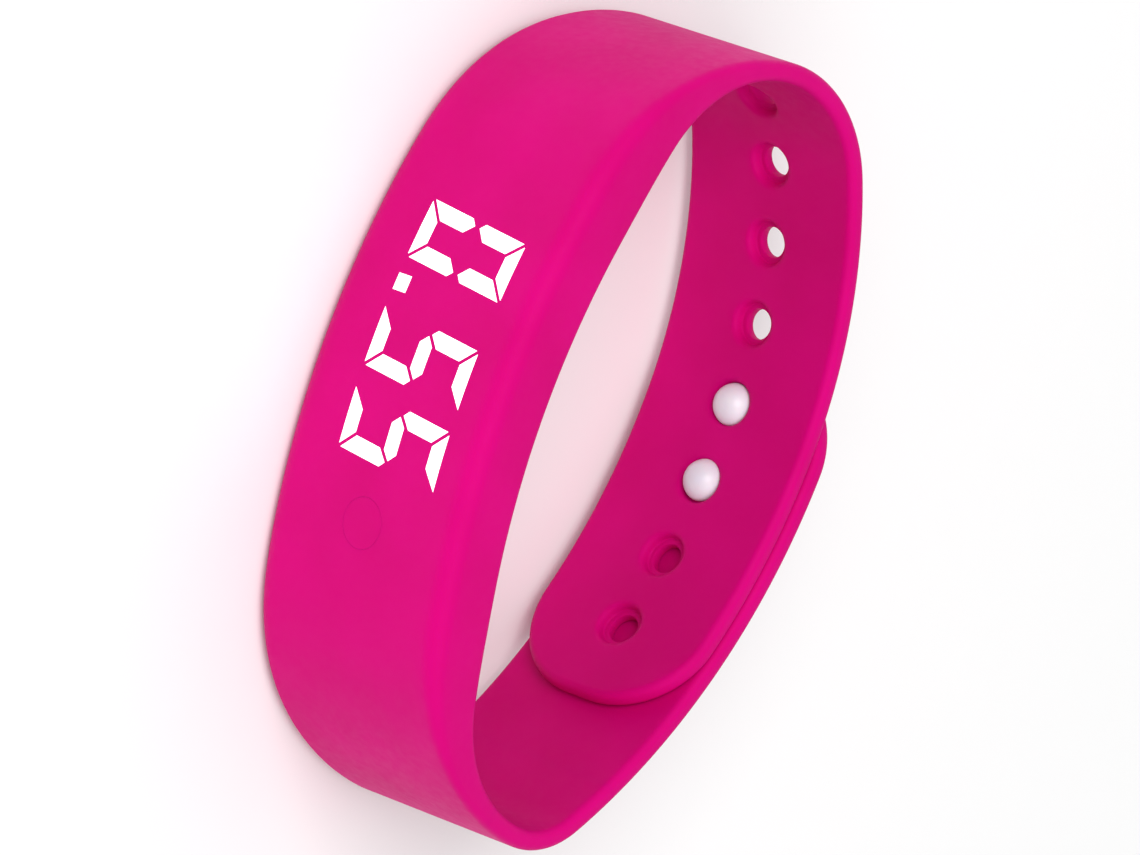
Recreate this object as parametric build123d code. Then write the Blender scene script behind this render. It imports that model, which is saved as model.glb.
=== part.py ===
"""A closed silicone fitness band: a lit display section, a strap with holes, a strap with a two-stud clip,
and the electronics module that sits inside the display section.

Millimetres. The band lies on its side edge. +X runs along the loop's long axis, in the reading direction of
the digits, from the strap with holes to the strap with studs. +Y runs from the display to the clasp, and +Z
runs across the band's width. Everything is modelled with the middle of the display's face at the origin, and
is moved at the end so that the origin is the middle of the underside of the whole band's box.
"""

from build123d import *
from math import asin, atan2, cos, degrees, radians, sin, sqrt, tan
import os

# ---- Loop: outline of the closed band, seen along Z ----
half_length = 38.0           # middle of the display to the loop's furthest point, along X
clasp_depth = 47.5           # display face to the outside of the outer strap, at the clasp
clasp_offset = 6.0           # how far the flattest point of the clasp lies towards the strap with holes
face_radius = 79.0           # curve of the display face
face_turn = 15.5             # degrees the face turns from its middle to the shoulder
shoulder_turn = 51.0         # heading where the shoulder ends
root_turn = 84.0             # heading where the display section ends and a strap begins
side_radius = 27.0           # curve of the loop's two ends
peg_corner = 9.0             # radius where the stud strap turns in towards the clasp
hole_corner = 15.2           # the same, for the strap with holes
display_thickness = 6.8
strap_thickness = 1.9
strap_gap = 0.12             # between the two overlapping straps

# ---- Widths, along Z ----
display_width = 23.6
strap_width = 21.0
flat_side_half = 17.0        # half length of the display section's flat side
edge_rounding = 0.7          # long edges of the silicone
tip_rounding = 9.0           # corners of a strap's free end, seen from outside

# ---- Clasp ----
hole_pitch = 8.0
hole_count = 8
first_stud_offset = -1.0     # first stud hole from the clasp's flattest point, along the strap
holes_past_studs = 2         # holes between the studs and the free end
hole_end_margin = 8.0        # last hole to the free end
dimple_radius = 2.25
web_bore_radius = 1.5        # small hole through the thin web of each dimple
web_thickness = 0.9
web_setback = 0.1            # web below the strap's outer face
peg_end_margin = 5.3         # first stud to the free end of the outer strap
neck_radius = 1.2
neck_clearance = 0.05
head_radius = 2.05
head_rim = 0.3               # straight part of a stud's head
head_dome = 1.7              # domed part
head_clearance = 0.12        # under a head, so that its flat base clears the curved web
clip_thickness = 1.2
clip_width = 5.0
clip_recess = 0.7            # how deep the clip's bar is let into the strap
clip_fit = 0.1
peel_distance = 19.0         # last stud to the line where the outer strap's end peels off
fold_gap = 0.2               # between two solids that meet at a fold

# ---- Module ----
skin = 0.9                   # silicone over the module
module_half_length = 21.0
module_width = 19.0
module_fit = 0.1
cover_recess = 0.2           # module's back below the silicone around it
pocket_lip = 1.0             # silicone that overlaps the module's back all round
shell_wall = 0.8
shell_front = 0.6
cover_thickness = 0.7
gasket_thickness = 0.3
gasket_width = 0.6
stack_gap = 0.06             # between stacked curved pieces
frame_thickness = 1.4        # light frame around the segments
board_thickness = 0.4
board_end_room = 4.0         # module's end to the board's end, taken up by the screws
board_side_gap = 0.5         # board's edge to the shell's inner wall
screw_end_inset = 0.8        # module's end to a screw's middle
screw_side_inset = 2.1       # module's side to a screw's middle
screw_radius = 0.5
screw_head_radius = 0.95
screw_head_height = 0.4
screw_length = 2.6
boss_radius = 1.1
drive_radius = 0.45
drive_depth = 0.25

# ---- Digits ----
digit_pitch = 7.7
point_room = 2.8             # added to the pitch where the point stands
digit_width = 5.8            # across a digit, along X
digit_slant = 6.0            # degrees that the digits lean
digit_margin = 1.9           # edge of the light frame to the digits, along Z
digit_count = 3
digits_before_point = 1
digits_middle = -2.6         # middle of the row, along X
digits_lift = 1.2            # middle of the row above the band's middle, along Z
segment_width = 1.6
segment_gap = 0.35           # across a mitre
segment_middle_gap = 0.65    # between the points of an upper and a lower upright
segment_point = 0.36         # share of an upright's width from its outer edge to its point
point_size = 1.6
led_size = 1.0
led_height = 0.45
frame_border = 0.8           # light frame past the outer digits
diffuser_thickness = 0.6
diffuser_fit = 0.05

# ---- Button ----
button_x = 14.6
button_radius = 2.4
button_fit = 0.1
key_radius = 1.2
button_travel = 0.25
switch_size = 3.2
switch_height = 0.75
plunger_radius = 0.8
plunger_height = 0.3         # above the switch
plunger_inside = 0.2         # inside it
plunger_room = 0.05          # left under the pressed plunger

# ---- Chips: length, width, height, x, z from the middle of the board's wrist side ----
microcontroller = (5.0, 5.0, 0.9, -8.0, 0.0)
led_driver = (3.0, 3.0, 0.75, -13.6, 0.0)
motion_sensor = (2.5, 2.0, 0.9, -8.0, -5.6)
clock_crystal = (3.2, 1.5, 0.8, -8.0, 5.4)
resistor = (0.5, 1.0, 0.35)
capacitor = (0.6, 1.2, 0.6)
small_parts_x = -15.6        # first column of resistors and capacitors
resistor_pitch = 1.1
resistor_columns = 4
capacitor_pitch = 1.5
capacitor_columns = 3
capacitor_edge_inset = 1.9   # board's edge to the middle of a row of capacitors
row_spacing = 2.3            # from there to the row of resistors

# ---- Cell, contacts and film ----
cell_margin = 0.2            # board's edge to the cell's rim
cell_x = 6.0
cell_rim = 0.35              # step between the cell's two faces
cell_cap_inset = 1.0         # smaller face of the cell, inside its rim
contact_thickness = 0.15
contact_gap = 0.05           # contact to the film
contact_width = 3.5
contact_past_rim = 0.6       # cell's rim to the middle of the contact's leg
contact_past_middle = 2.0    # how far the contact reaches past the cell's middle
leaf_radius = 3.0            # round contact under the cell
film_thickness = 0.08
chip_seat = 0.05             # solder under a part

middle_z = display_width / 2
face_centre = (0, face_radius)
on_plane = 1e-4              # how near a point counts as lying on a plane


# ---- Helpers for the outline ----
def unit(heading):
    """Direction of travel at a heading in degrees, where 0 is +X and 90 is +Y."""
    return Vector(cos(radians(heading)), sin(radians(heading)))


def inward(heading):
    """Direction towards the inside of the loop, for travel from the display round the +X end."""
    return Vector(-sin(radians(heading)), cos(radians(heading)))


def walk(start, heading, steps, offset=0.0):
    """Tangent arcs from a start point. Each step is (radius, heading at its end). The line is moved inwards
    by offset. Returns the arcs and the point where the line that isn't moved ends."""
    arcs = []
    point = Vector(*start)
    for radius, end in steps:
        centre = point + inward(heading) * radius
        turns = (heading, (heading + end) / 2, end)
        moved = [centre - inward(turn) * (radius - offset) for turn in turns]
        arcs.append(ThreePointArc(*moved))
        point = centre - inward(end) * radius
        heading = end
    return arcs, point


def band(start, heading, steps, outer, inner, low, high):
    """A strip of the loop between two offsets and two heights."""
    outside, _ = walk(start, heading, steps, outer)
    inside, _ = walk(start, heading, steps, inner)
    edges = outside + inside
    edges.append(Line(outside[0] @ 0, inside[0] @ 0))
    edges.append(Line(outside[-1] @ 1, inside[-1] @ 1))
    return Pos(0, 0, low) * extrude(make_face(edges), amount=high - low)


def mirrored(shape):
    """The same shape at the -X end of the loop."""
    return mirror(shape, about=Plane.YZ)


def group(shapes):
    """Several separate solids in one node."""
    return Compound([solid for shape in shapes for solid in shape.solids()])


# ---- Outline worked out from the driving sizes ----
face_end_x = face_radius * sin(radians(face_turn))
shoulder_run = sin(radians(shoulder_turn)) - sin(radians(face_turn))
side_run = 1 - sin(radians(shoulder_turn))
shoulder_radius = (half_length - face_end_x - side_radius * side_run) / shoulder_run
front_steps = [(face_radius, face_turn), (shoulder_radius, shoulder_turn), (side_radius, root_turn)]
front_arcs, root = walk((0, 0), 0, front_steps)


def closing_arc(corner, apex_x, apex_y):
    """Heading where the corner's arc ends, and radius of the arc after it, which ends flat at the clasp."""
    run_x = root.X - apex_x - corner * sin(radians(root_turn))
    run_y = apex_y - root.Y - corner * (1 + cos(radians(root_turn)))
    # (back - corner) * sin(turn) = run_x   and   (back - corner) * (1 + cos(turn)) = run_y
    turn = 2 * degrees(atan2(run_x, run_y))
    return turn, corner + run_x / sin(radians(turn))


strap_step = strap_thickness + strap_gap
peg_corner_turn, peg_back = closing_arc(peg_corner, -clasp_offset, clasp_depth)
hole_corner_turn, hole_back = closing_arc(hole_corner, clasp_offset, clasp_depth - strap_step)


# ---- Solids of the silicone band ----
def plan_outline():
    """The band's outline seen along Y: wide and flat at the display, narrower past its flat sides."""
    narrowing = (display_width - strap_width) / 2
    run = half_length - flat_side_half
    bend = (run**2 + narrowing**2) / (2 * narrowing)
    tangent = Vector(flat_side_half, 0)
    turned = degrees(2 * atan2(narrowing, run))
    side = JernArc(start=tangent, tangent=(1, 0), radius=bend, arc_size=turned)
    far = 2 * half_length
    corner = [side @ 1, (far, (side @ 1).Y), (far, middle_z), (0, middle_z), (0, 0), tangent]
    quarter = make_face([side, Polyline(*corner)])
    half = quarter + mirror(quarter, about=Plane.YZ)
    return half + Pos(0, display_width) * mirror(half, about=Plane.XZ)


def long_edges(solid, ends):
    """Edges to round: those that don't lie on the flat ends where the solid meets its neighbour."""
    def lies_on(edge, plane):
        return all(abs(plane.to_local_coords(edge @ t).Z) < on_plane for t in (0, 0.5, 1))

    def on_end(edge):
        return any(lies_on(edge, plane) for plane in ends)

    return [edge for edge in solid.edges() if not on_end(edge)]


def end_plane(point, heading):
    """The flat cut across the strip at a point."""
    along = unit(heading)
    return Plane(origin=(point.X, point.Y, 0), x_dir=(0, 0, 1), z_dir=(along.X, along.Y, 0))


def inner_steps():
    """Arcs of the display section's wrist side, from its middle to the root."""
    radius = face_radius - display_thickness
    end = root + inward(root_turn) * strap_thickness
    away = end - Vector(*face_centre)
    corner = (radius**2 - away.dot(away)) / (2 * (away.dot(inward(root_turn)) + radius))
    centre = end + inward(root_turn) * corner - Vector(*face_centre)
    turn = degrees(atan2(centre.X, -centre.Y))
    return [(radius, turn), (corner, root_turn)]


def half_profile():
    """The display section's outline seen along Z, for the +X half."""
    inside, end = walk((0, display_thickness), 0, inner_steps())
    edges = front_arcs + inside + [Line(root, end), Line((0, 0), (0, display_thickness))]
    return make_face(edges)


def curved_block(front, back, x_low, x_high, width):
    """A block that follows the face's curve, between two depths below the face, centred across the width."""
    height = width
    ring = Cylinder(face_radius - front, height) - Cylinder(face_radius - back, height)
    middle = (x_low + x_high) / 2
    window = Pos(middle, 0, 0) * Box(x_high - x_low, face_radius, 2 * height)
    return Pos(0, 0, middle_z) * (Pos(*face_centre) * ring & window)


def seat(x, z, depth):
    """A plane on the curve at a depth below the face, whose z direction points out of the display. x is
    measured on the face, so that all depths at one x lie on one line through it."""
    radius = face_radius - depth
    angle = asin(x / face_radius)
    origin = (radius * sin(angle), face_radius - radius * cos(angle), middle_z + z)
    return Plane(origin=origin, x_dir=(cos(angle), sin(angle), 0), z_dir=(sin(angle), -cos(angle), 0))


def on_seat(shape, x, z, depth):
    """A shape whose base is at its own z = 0, stood on the curve and pointing out of the display."""
    return seat(x, z, depth).location * shape


def stand(shape, height):
    """A centred shape moved so that its base is at z = 0."""
    return Pos(0, 0, height / 2) * shape


module_back = display_thickness - cover_recess
cover_front = module_back - cover_thickness
shell_back = cover_front - gasket_thickness
module_front = skin + module_fit / 2


def make_display_section():
    other_root = Vector(-root.X, root.Y)
    root_ends = [end_plane(root, root_turn), end_plane(other_root, -root_turn)]
    half = half_profile()
    profile = half + mirror(half, about=Plane.YZ)
    solid = extrude(profile, amount=display_width)
    plan = extrude(Plane.XZ * plan_outline(), amount=-2 * clasp_depth)
    solid = solid & plan
    solid = fillet(long_edges(solid, root_ends), edge_rounding)
    reach = module_half_length + module_fit
    pocket = curved_block(skin, module_back + module_fit, -reach, reach, module_width + 2 * module_fit)
    mouth_reach = module_half_length - pocket_lip
    mouth_width = module_width - 2 * pocket_lip
    mouth = curved_block(skin, 2 * display_thickness, -mouth_reach, mouth_reach, mouth_width)
    press = on_seat(Cylinder(button_radius + button_fit, 4 * skin), button_x, 0, skin)
    return solid - pocket - mouth - press


def rounded_strap(solid, root_plane, tip_plane):
    """Rounds a strap's free end in plan, then all its long edges."""
    def across_tip(edge):
        on_tip = all(abs(tip_plane.to_local_coords(edge @ t).Z) < on_plane for t in (0, 1))
        return on_tip and abs((edge % 0.5).Z) < 0.5
    solid = fillet([edge for edge in solid.edges() if across_tip(edge)], tip_rounding)
    return fillet(long_edges(solid, [root_plane]), edge_rounding)


# The strap with holes is worked out at the +X end and mirrored.
hole_tip_length = hole_pitch * (holes_past_studs + 1) + first_stud_offset + hole_end_margin
overlap_radius = peg_back - strap_step
hole_tip_turn = 180 + degrees(hole_tip_length / overlap_radius)
hole_steps = [(hole_corner, hole_corner_turn), (hole_back, 180), (overlap_radius, hole_tip_turn)]
strap_low = (display_width - strap_width) / 2
strap_high = strap_low + strap_width


def place_on(steps, distance, offset=0.0):
    """The point and heading at a distance along the arcs that leave the root."""
    point, heading = root, root_turn
    for radius, end in steps:
        length = radius * radians(end - heading)
        turn = end if distance > length else heading + degrees(distance / radius)
        centre = point + inward(heading) * radius
        point = centre - inward(turn) * radius
        heading = turn
        if distance <= length:
            break
        distance -= length
    return point + inward(heading) * offset, heading


def run_to_flat(steps):
    """Length along the arcs from the root to the clasp's flattest point."""
    total, heading = 0.0, root_turn
    for radius, end in steps[:2]:
        total += radius * radians(end - heading)
        heading = end
    return total


def through(steps, distance, offset):
    """A location across the strap, at a distance from the root, that points out of the loop."""
    point, heading = place_on(steps, distance, offset)
    out = inward(heading) * -1
    return Plane(origin=(point.X, point.Y, middle_z), x_dir=(0, 0, 1), z_dir=(out.X, out.Y, 0)).location


web_depth = web_setback + web_thickness / 2
hole_flat = run_to_flat(hole_steps)
last_hole = hole_flat + hole_tip_length - hole_end_margin
hole_places = [last_hole - n * hole_pitch for n in range(hole_count)]


def make_hole_strap():
    start, heading = place_on(hole_steps, fold_gap)
    solid = band(start, heading, hole_steps, 0, strap_thickness, strap_low, strap_high)
    tip, tip_heading = place_on(hole_steps, hole_flat + hole_tip_length)
    solid = rounded_strap(solid, end_plane(start, heading), end_plane(tip, tip_heading))
    for place in hole_places:
        bore = Cylinder(dimple_radius, 4 * strap_thickness)
        solid -= through(hole_steps, place, strap_thickness / 2) * bore
    return mirrored(solid)


def make_hole_webs():
    ring = Cylinder(dimple_radius, web_thickness) - Cylinder(web_bore_radius, web_thickness)
    return group([mirrored(through(hole_steps, place, web_depth) * ring) for place in hole_places])


# The strap with studs runs from the root at the +X end, over the clasp, to its free end.
stud_offsets = [first_stud_offset, first_stud_offset + hole_pitch]
peg_over_radius = hole_back + strap_step
peg_tip_length = peg_end_margin - first_stud_offset
peg_tip_turn = 180 + degrees(peg_tip_length / peg_over_radius)
peg_steps = [(peg_corner, peg_corner_turn), (peg_back, 180), (peg_over_radius, peg_tip_turn)]
peg_flat = run_to_flat(peg_steps)
stud_places = [peg_flat - offset for offset in stud_offsets]
peel_place = min(stud_places) - peel_distance
peel_point, peel_heading = place_on(peg_steps, peel_place)


def peg_length(low, high):
    """The arcs of the strap with studs between two distances from the root, with their start and heading."""
    start, first_heading = place_on(peg_steps, low)
    _, last_heading = place_on(peg_steps, high)
    steps = [(radius, min(end, last_heading)) for radius, end in peg_steps if end > first_heading]
    kept = [steps[0]]
    for step in steps[1:]:
        if step[1] > kept[-1][1]:
            kept.append(step)
    return start, first_heading, kept


def peg_band(low, high):
    """The strap with studs between two distances, and the planes of its two ends."""
    start, heading, steps = peg_length(low, high)
    solid = band(start, heading, steps, 0, strap_thickness, strap_low, strap_high)
    end, end_heading = place_on(peg_steps, high)
    return solid, end_plane(start, heading), end_plane(end, end_heading)


def make_peg_strap():
    solid, root_end, fold_end = peg_band(fold_gap, peel_place - fold_gap / 2)
    return fillet(long_edges(solid, [root_end, fold_end]), edge_rounding)


clip_length = hole_pitch + clip_width
clip_place = sum(stud_places) / len(stud_places)


def clip_bar(grown):
    """The clip's outer bar, rounded at both ends, let into the strap. Its base is at z = 0."""
    return extrude(SlotOverall(clip_length + 2 * grown, clip_width + 2 * grown), amount=clip_thickness)


def make_peg_strap_end():
    solid, fold_end, tip = peg_band(peel_place + fold_gap / 2, peg_flat + peg_tip_length)
    solid = rounded_strap(solid, fold_end, tip)
    solid -= clip_seat * (Rot(0, 0, 90) * clip_bar(clip_fit))
    for seat_place in stud_seats:
        solid -= seat_place * Cylinder(neck_radius + neck_clearance, 4 * strap_thickness)
    return solid


clip_seat = through(peg_steps, clip_place, clip_recess)
stud_seats = [through(peg_steps, place, 0) for place in stud_places]
head_base = strap_step + web_setback + web_thickness + head_clearance


def stud():
    """Neck and domed head, pointing down from the strap's outer face at z = 0."""
    neck_length = head_base - clip_recess / 2
    neck = Pos(0, 0, -head_base + neck_length / 2) * Cylinder(neck_radius, neck_length)
    rim = Pos(0, 0, -head_base - head_rim / 2) * Cylinder(head_radius, head_rim)
    dome_radius = (head_radius**2 + head_dome**2) / (2 * head_dome)
    centre = -head_base - head_rim - head_dome + dome_radius
    dome_box = Box(4 * head_radius, 4 * head_radius, head_dome)
    below = Pos(0, 0, -head_base - head_rim - head_dome / 2) * dome_box
    return neck + rim + (Pos(0, 0, centre) * Sphere(dome_radius) & below)


def make_peg_clip():
    bar = clip_seat * (Rot(0, 0, 90) * clip_bar(0))
    for seat_place in stud_seats:
        bar = bar + seat_place * stud()
    return bar


# ---- Module ----
screw_x = module_half_length - screw_end_inset
screw_z = module_width / 2 - screw_side_inset
corners = [(sx * screw_x, sz * screw_z) for sx in (-1, 1) for sz in (-1, 1)]
inner_reach = module_half_length - shell_wall
inner_width = module_width - 2 * shell_wall
board_half_length = module_half_length - board_end_room
board_width = inner_width - 2 * board_side_gap
front_inside = module_front + shell_front
board_front = front_inside + frame_thickness + 2 * stack_gap
board_back = board_front + board_thickness


def make_module_shell():
    outside = curved_block(module_front, shell_back, -module_half_length, module_half_length, module_width)
    inside = curved_block(front_inside, 2 * display_thickness, -inner_reach, inner_reach, inner_width)
    shell = outside - inside
    length = shell_back - front_inside + shell_front / 2
    for x, z in corners:
        boss = on_seat(stand(Cylinder(boss_radius, length), length), x, z, shell_back)
        shell = shell + boss
    for x, z in corners:
        hole = stand(Cylinder(screw_radius + stack_gap, screw_length), screw_length)
        shell = shell - on_seat(hole, x, z, module_back)
    return shell - on_seat(Cylinder(button_radius + button_fit, 8 * shell_front), button_x, 0, module_front)


def make_cover_gasket():
    outer = curved_block(shell_back, cover_front, -module_half_length, module_half_length, module_width)
    reach = module_half_length - gasket_width
    width = module_width - 2 * gasket_width
    return outer - curved_block(0, 2 * display_thickness, -reach, reach, width)


def make_module_cover():
    cover = curved_block(cover_front, module_back, -module_half_length, module_half_length, module_width)
    for x, z in corners:
        cover -= on_seat(Cylinder(screw_radius + stack_gap, 4 * cover_thickness), x, z, module_back)
        sink = stand(Cylinder(screw_head_radius + stack_gap, screw_head_height), screw_head_height)
        cover -= on_seat(sink, x, z, module_back)
        clear = Pos(0, 0, -cover_thickness) * Cylinder(screw_head_radius + stack_gap, 2 * cover_thickness)
        cover -= on_seat(clear, x, z, module_back)
    return cover


def make_cover_screws():
    screws = []
    head_height = screw_head_height - stack_gap
    shank_length = screw_length - stack_gap
    for x, z in corners:
        head = stand(Cylinder(screw_head_radius, head_height), head_height)
        shank = stand(Cylinder(screw_radius, shank_length), shank_length)
        drive = Cylinder(drive_radius, 2 * drive_depth)
        screws.append(on_seat(head + shank - drive, x, z, module_back))
    return group(screws)


# ---- Digits ----
digit_height = board_width - 2 * digit_margin
lean = tan(radians(digit_slant))


def digit_segments():
    """Outlines of a digit's seven segments, seen from outside with its top towards +Z. Corners are mitred,
    and the uprights come to a point at the middle."""
    side, top, width = digit_width / 2, digit_height / 2, segment_width
    miter = segment_gap / sqrt(2)
    cap = [(miter - side, top), (side - miter, top), (side - miter - width, top - width),
           (miter + width - side, top - width)]
    point, tip = segment_point * width, segment_middle_gap / 2
    upright = [(side, top - miter), (side, tip + point), (side - point, tip),
               (side - width, tip + width - point), (side - width, top - width - miter)]
    reach, half = side - point - miter, width / 2
    middle = [(-reach, 0), (half - reach, half), (reach - half, half), (reach, 0), (reach - half, -half),
              (half - reach, -half)]
    caps = [[(x, up * z) for x, z in cap] for up in (1, -1)]
    uprights = [[(right * x, up * z) for x, z in upright] for right in (1, -1) for up in (1, -1)]
    return [[(x + lean * z, z) for x, z in outline] for outline in caps + [middle] + uprights]


row_start = digits_middle - ((digit_count - 1) * digit_pitch + point_room) / 2
digit_middles = [row_start + n * digit_pitch for n in range(digits_before_point)]
digit_middles += [row_start + point_room + n * digit_pitch for n in range(digits_before_point, digit_count)]
point_height = (point_size - digit_height) / 2
beside_point = digit_middles[digits_before_point - 1:digits_before_point + 1]
point_place = (sum(beside_point) / 2 + lean * point_height, digits_lift + point_height)


def lit_shapes(shrink):
    """Every segment and the point as (face about its own middle, x, z)."""
    shapes = []
    for digit_x in digit_middles:
        for corners_xz in digit_segments():
            x = sum(corner[0] for corner in corners_xz) / len(corners_xz)
            z = sum(corner[1] for corner in corners_xz) / len(corners_xz)
            outline = Polyline(*[(a - x, b - z) for a, b in corners_xz], close=True)
            face = offset(make_face(outline), amount=-shrink, kind=Kind.INTERSECTION)
            shapes.append((face, digit_x + x, digits_lift + z))
    size = point_size - 2 * shrink
    return shapes + [(Rectangle(size, size), *point_place)]


frame_front = front_inside + stack_gap


def make_segment_frame():
    low = digit_middles[0] - digit_pitch / 2 - frame_border
    high = digit_middles[-1] + digit_pitch / 2 + frame_border
    frame = curved_block(frame_front, frame_front + frame_thickness, low, high, board_width)
    for face, x, z in lit_shapes(0):
        window = Pos(0, 0, -2 * frame_thickness) * extrude(face, amount=4 * frame_thickness, dir=(0, 0, 1))
        frame -= on_seat(window, x, z, frame_front)
    return frame


def make_segment_diffusers():
    depth = frame_front + stack_gap + diffuser_thickness
    bars = [on_seat(extrude(face, amount=diffuser_thickness, dir=(0, 0, 1)), x, z, depth)
            for face, x, z in lit_shapes(diffuser_fit)]
    return group(bars)


def make_segment_leds():
    led = stand(Box(led_size, led_size, led_height), led_height)
    return group([on_seat(led, x, z, board_front - chip_seat) for _, x, z in lit_shapes(0)])


# ---- Circuit ----
def make_circuit_board():
    return curved_block(board_front, board_back, -board_half_length, board_half_length, board_width)


def on_back(length, width, height, x, z):
    """A flat part soldered to the board's wrist side."""
    part = Pos(0, 0, -height / 2) * Box(length, width, height)
    return on_seat(part, x, z, board_back + chip_seat)


def rows(size, count, pitch, row_z):
    """Rows of one small part, one on each side of the board's middle."""
    places = [(small_parts_x + pitch * n, z) for n in range(count) for z in (-row_z, row_z)]
    return group([on_back(*size, x, z) for x, z in places])


capacitor_row_z = board_width / 2 - capacitor_edge_inset
resistor_row_z = capacitor_row_z - row_spacing

# The cell is flat, so its rim touches the curved board first. It fills the room that the contact leaves.
cell_radius = board_width / 2 - cell_margin
cell_sag = cell_radius**2 / (2 * (face_radius - board_back))
cell_front = board_back + cell_sag + chip_seat
film_back = cover_front - chip_seat / 2
film_front = film_back - film_thickness
cell_thickness = film_front - contact_gap - contact_thickness - chip_seat - cell_front


def cell_seat():
    return seat(cell_x, 0, cell_front).location


def make_coin_cell():
    can_height = cell_thickness - cell_rim
    can = Pos(0, 0, -cell_rim - can_height / 2) * Cylinder(cell_radius, can_height)
    cap = Pos(0, 0, -cell_rim / 2) * Cylinder(cell_radius - cell_cap_inset, cell_rim)
    return cell_seat() * (can + cap)


def make_positive_contact():
    """A bent strip: over the cell's wrist side, and down beside it to the board."""
    leg_x = -cell_radius - contact_past_rim
    strip_length = contact_past_middle - leg_x
    strip_z = -cell_thickness - chip_seat - contact_thickness / 2
    strip_x = (contact_past_middle + leg_x) / 2
    strip = Pos(strip_x, 0, strip_z) * Box(strip_length, contact_width, contact_thickness)
    leg_height = cell_thickness + contact_thickness
    leg = Pos(leg_x, 0, -chip_seat - leg_height / 2) * Box(contact_thickness, contact_width, leg_height)
    return cell_seat() * (strip + leg)


def make_negative_contact():
    """A round spring leaf on the board, in the hollow under the flat cell."""
    leaf = Cylinder(leaf_radius, contact_thickness)
    return on_seat(leaf, cell_x, 0, board_back + cell_sag - contact_thickness / 2)


def make_insulating_film():
    return curved_block(film_front, film_back, -board_half_length, board_half_length, board_width)


# ---- Button ----
switch_top = board_front - chip_seat - switch_height
plunger_top = switch_top - plunger_height


def make_button_pad():
    face = curved_block(0, skin, button_x - 2 * button_radius, button_x + 2 * button_radius, module_width)
    return face & on_seat(Cylinder(button_radius, 8 * skin), button_x, 0, skin)


def make_button_key():
    """A flange under the skin and a stem that reaches the switch."""
    flange_depth = front_inside - stack_gap
    flange_height = flange_depth - skin - chip_seat
    stem_height = plunger_top - flange_depth
    flange = on_seat(stand(Cylinder(button_radius, flange_height), flange_height), button_x, 0, flange_depth)
    stem = on_seat(stand(Cylinder(key_radius, stem_height), stem_height), button_x, 0, plunger_top)
    return flange + stem


def make_switch_plunger():
    height = plunger_height + plunger_inside
    return on_seat(stand(Cylinder(plunger_radius, height), height), button_x, 0, plunger_top + height)


def make_tact_switch():
    body = stand(Box(switch_size, switch_size, switch_height), switch_height)
    depth = plunger_inside + button_travel + plunger_room
    bore = Pos(0, 0, switch_height) * Cylinder(plunger_radius + neck_clearance, 2 * depth)
    return on_seat(body - bore, button_x, 0, board_front - chip_seat)


# ---- The whole band ----
nodes = {
    "display_section": make_display_section(),
    "hole_strap": make_hole_strap(),
    "hole_webs": make_hole_webs(),
    "peg_strap": make_peg_strap(),
    "peg_strap_end": make_peg_strap_end(),
    "peg_clip": make_peg_clip(),
    "module_shell": make_module_shell(),
    "cover_gasket": make_cover_gasket(),
    "module_cover": make_module_cover(),
    "cover_screws": make_cover_screws(),
    "segment_frame": make_segment_frame(),
    "segment_diffusers": make_segment_diffusers(),
    "segment_leds": make_segment_leds(),
    "circuit_board": make_circuit_board(),
    "microcontroller": on_back(*microcontroller),
    "led_driver": on_back(*led_driver),
    "motion_sensor": on_back(*motion_sensor),
    "clock_crystal": on_back(*clock_crystal),
    "chip_resistors": rows(resistor, resistor_columns, resistor_pitch, resistor_row_z),
    "chip_capacitors": rows(capacitor, capacitor_columns, capacitor_pitch, capacitor_row_z),
    "coin_cell": make_coin_cell(),
    "positive_contact": make_positive_contact(),
    "negative_contact": make_negative_contact(),
    "insulating_film": make_insulating_film(),
    "button_pad": make_button_pad(),
    "button_key": make_button_key(),
    "switch_plunger": make_switch_plunger(),
    "tact_switch": make_tact_switch(),
}

boxes = [shape.bounding_box() for shape in nodes.values()]
low_x, high_x = min(box.min.X for box in boxes), max(box.max.X for box in boxes)
low_y, high_y = min(box.min.Y for box in boxes), max(box.max.Y for box in boxes)
low_z = min(box.min.Z for box in boxes)
to_origin = Vector(-(low_x + high_x) / 2, -(low_y + high_y) / 2, -low_z)

os.makedirs("parts", exist_ok=True)
for name, shape in nodes.items():
    export_step(Pos(to_origin) * shape, f"parts/{name}.step")

# ---- Joints, as points and directions in the finished frame ----
hole_fold, _ = place_on(hole_steps, fold_gap / 2)
joints = {
    "hole_strap_flex": Vector(-hole_fold.X, hole_fold.Y),
    "peg_strap_flex": place_on(peg_steps, fold_gap / 2)[0],
    "clasp_peel": peel_point,
}
for name, point in joints.items():
    print(name, "turns about Z at", point + to_origin)
print("button_press slides along", seat(button_x, 0, 0).z_dir * -1)
print("moved by", to_origin, "box", high_x - low_x, high_y - low_y, display_width)
print("shoulder", shoulder_radius, "stud strap turns", peg_corner_turn, "then", peg_back)
print("hole strap turns", hole_corner_turn, "then", hole_back, "cell", cell_thickness)
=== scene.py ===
# %% [markdown]
# # A silicone fitness band
#
# The band is one soft moulding, closed in a loop and lying on its side edge. A white clip with two studs
# holds it shut. Every soft part is modelled flat, like a strap on a bench, and a node tree wraps it round
# the loop. Lengths in the code are millimetres, and become metres when a mesh is made.

import math

import bpy
import bmesh
import numpy as np
from mathutils import Matrix, Vector
from mathutils.geometry import delaunay_2d_cdt


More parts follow.
